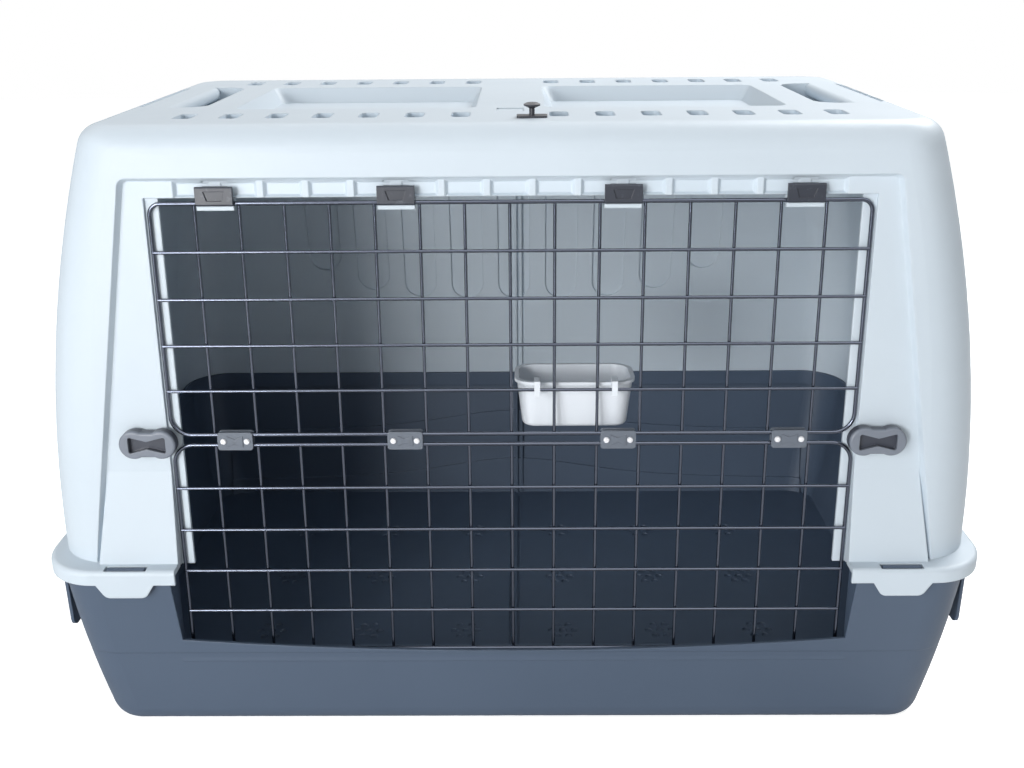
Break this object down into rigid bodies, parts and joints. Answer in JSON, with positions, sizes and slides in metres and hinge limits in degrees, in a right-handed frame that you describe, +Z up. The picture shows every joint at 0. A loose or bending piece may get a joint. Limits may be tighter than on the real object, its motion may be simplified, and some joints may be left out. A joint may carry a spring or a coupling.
{
  "type": "pet carrier",
  "caption": "Large moulded pet carrier: pale upper shell, dark lower shell, wide folding wire door in front, hook-on bowl.",
  "frame": {"origin": "on the floor, at the centre of the bounding box", "axes": "+X to the right seen from the front, +Y from the door to the rear wall, +Z up"},
  "size_m": [1, 0.6, 0.6696],
  "materials": {
    "upper_plastic": "fine matt moulded plastic, pale cool grey",
    "lower_plastic": "fine matt moulded plastic, slate grey",
    "clip_plastic": "satin moulded plastic, dark grey",
    "knob_plastic": "satin moulded plastic, mid grey",
    "door_wire": "gloss black coating on steel wire",
    "rivet_plastic": "white plastic rivet",
    "bowl_plastic": "smooth white plastic",
    "pin_plastic": "smooth dark plastic"
  },
  "bodies": {
    "shells": {"upper_shell": "upper_plastic", "lower_shell": "lower_plastic", "latch_pivot_left": "clip_plastic", "latch_pivot_right": "clip_plastic", "pin_plate": "pin_plastic"},
    "upper_door": {"upper_door_frame": "door_wire", "upper_door_uprights": "door_wire", "upper_door_cross_wires": "door_wire", "fold_hinge_front_1": "clip_plastic", "fold_hinge_back_1": "clip_plastic", "fold_hinge_front_2": "clip_plastic", "fold_hinge_back_2": "clip_plastic", "fold_hinge_front_3": "clip_plastic", "fold_hinge_back_3": "clip_plastic", "fold_hinge_front_4": "clip_plastic", "fold_hinge_back_4": "clip_plastic", "fold_hinge_rivets": "rivet_plastic"},
    "lower_door": {"lower_door_frame": "door_wire", "lower_door_uprights": "door_wire", "lower_door_cross_wires": "door_wire"},
    "keeper_1": {"door_keeper_1": "clip_plastic"},
    "keeper_2": {"door_keeper_2": "clip_plastic"},
    "keeper_3": {"door_keeper_3": "clip_plastic"},
    "keeper_4": {"door_keeper_4": "clip_plastic"},
    "latch_left": {"latch_knob_left": "knob_plastic"},
    "latch_right": {"latch_knob_right": "knob_plastic"},
    "bowl": {"food_bowl": "bowl_plastic"},
    "pin": {"divider_pin": "pin_plastic"}
  },
  "joints": [
    {"name": "door_swing", "type": "hinge", "parent": "shells", "child": "upper_door", "pos_m": [0, -0.2517, 0.582], "axis": [-1, 0, 0], "range_deg": [0, 45]},
    {"name": "door_fold", "type": "hinge", "parent": "upper_door", "child": "lower_door", "pos_m": [0, -0.26531, 0.33467], "axis": [1, 0, 0], "range_deg": [0, 92.25]},
    {"name": "keeper_slide_1", "type": "slide", "parent": "shells", "child": "keeper_1", "axis": [0, 0.055, 0.9985], "range_m": [0, 0.005]},
    {"name": "keeper_slide_2", "type": "slide", "parent": "shells", "child": "keeper_2", "axis": [0, 0.055, 0.9985], "range_m": [0, 0.005]},
    {"name": "keeper_slide_3", "type": "slide", "parent": "shells", "child": "keeper_3", "axis": [0, 0.055, 0.9985], "range_m": [0, 0.005]},
    {"name": "keeper_slide_4", "type": "slide", "parent": "shells", "child": "keeper_4", "axis": [0, 0.055, 0.9985], "range_m": [0, 0.005]},
    {"name": "latch_turn_left", "type": "hinge", "parent": "shells", "child": "latch_left", "pos_m": [-0.37, -0.265, 0.34027], "axis": [0, -0.9985, 0.055], "range_deg": [0, 90]},
    {"name": "latch_turn_right", "type": "hinge", "parent": "shells", "child": "latch_right", "pos_m": [0.37, -0.265, 0.34027], "axis": [0, -0.9985, 0.055], "range_deg": [-90, 0]},
    {"name": "bowl_lift", "type": "slide", "parent": "upper_door", "child": "bowl", "axis": [0, 0.055, 0.9985], "range_m": [0, 0.02]},
    {"name": "pin_lift", "type": "slide", "parent": "shells", "child": "pin", "axis": [0, 0, 1], "range_m": [0, 0.012]}
  ],
  "couplings": [
    {"joint": "door_fold", "follows": "door_swing", "ratio": 2.05}
  ]
}
